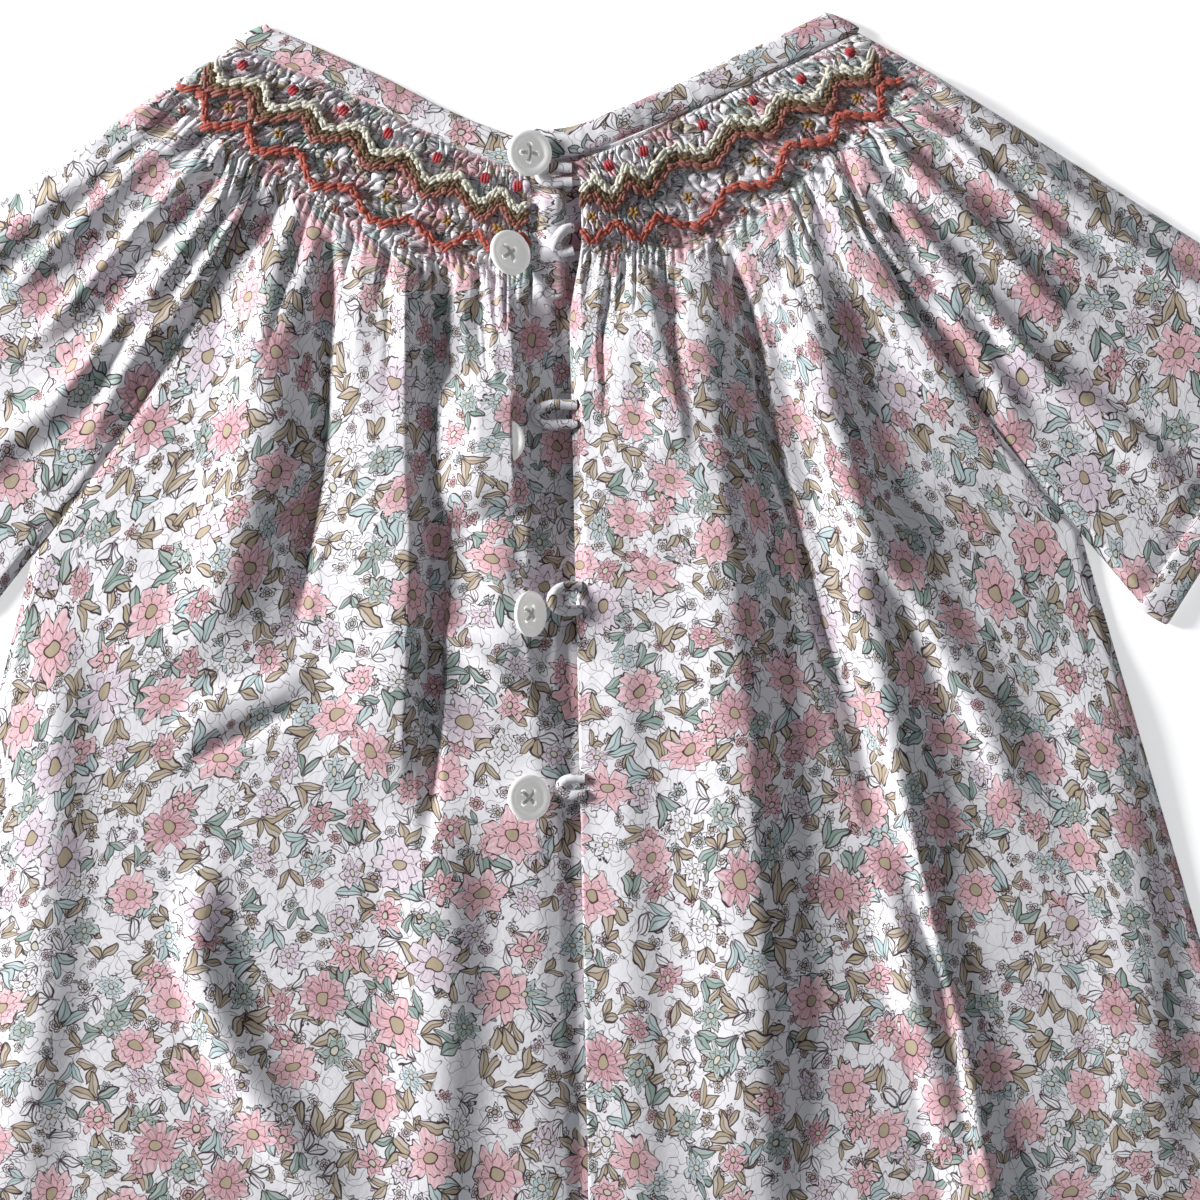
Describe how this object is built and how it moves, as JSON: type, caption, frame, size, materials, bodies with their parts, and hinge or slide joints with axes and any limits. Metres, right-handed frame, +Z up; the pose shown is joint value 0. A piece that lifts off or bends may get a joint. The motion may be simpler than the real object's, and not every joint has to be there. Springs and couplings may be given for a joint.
{
  "type": "baby blouse",
  "caption": "Raglan baby blouse in floral cotton lawn with a smocked round yoke and a back opening of shell buttons and fabric loops, laid flat back up.",
  "frame": {"origin": "middle of the base of the bounding box, on the surface the blouse lies on", "axes": "+X towards the blouse's right-hand sleeve as seen from above, +Y from the hem towards the neck, +Z up out of the cloth"},
  "size_m": [0.3812, 0.3272, 0.0118],
  "materials": {
    "lawn": "matte",
    "shell": "gloss"
  },
  "bodies": {
    "root": {"front": "lawn", "back_left": "lawn", "back_right": "lawn", "sleeve_left": "lawn", "sleeve_right": "lawn", "neck_band": "lawn", "cuff_left": "lawn", "cuff_right": "lawn", "button_1": "shell", "button_2": "shell", "button_3": "shell", "button_4": "shell", "button_5": "shell", "loop_1": "lawn", "loop_2": "lawn", "loop_3": "lawn", "loop_4": "lawn", "loop_5": "lawn"}
  },
  "joints": []
}
